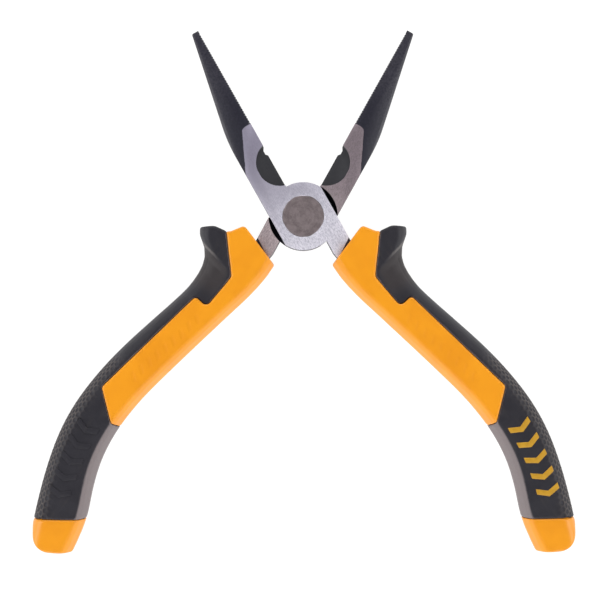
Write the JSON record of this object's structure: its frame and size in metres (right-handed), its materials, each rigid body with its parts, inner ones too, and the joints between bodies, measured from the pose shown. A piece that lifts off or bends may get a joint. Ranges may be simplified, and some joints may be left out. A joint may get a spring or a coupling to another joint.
{
  "type": "needle nose pliers",
  "caption": "Long nose pliers with serrated tapering jaws, a side cutter, a flush riveted lap joint and two-material grips with thumb guards.",
  "frame": {"origin": "on the pivot axis, at the ground back face of the joint", "axes": "+Z along the pivot axis, out of the front face; +Y from the pivot towards the jaw tips, midway between the jaws; +X towards the right handle"},
  "size_m": [0.138, 0.1325, 0.0134],
  "materials": {
    "front_lever_steel": "black oxide jaws, ground cheeks",
    "rear_lever_steel": "black oxide jaws, ground cheeks",
    "rivet_steel": "ground flush",
    "orange_plastic": "satin",
    "dark_soft_cover": "matt, textured on the outer side"
  },
  "bodies": {
    "front_half": {"front_lever": "front_lever_steel", "pivot_rivet": "rivet_steel", "right_grip_core": "orange_plastic", "right_grip_cover": "dark_soft_cover"},
    "rear_half": {"rear_lever": "rear_lever_steel", "left_grip_core": "orange_plastic", "left_grip_cover": "dark_soft_cover"}
  },
  "joints": [
    {"name": "pivot", "type": "hinge", "parent": "front_half", "child": "rear_half", "pos_m": [0, 0, 0.0048], "axis": [0, 0, -1], "range_deg": [-58.5, 2]}
  ]
}
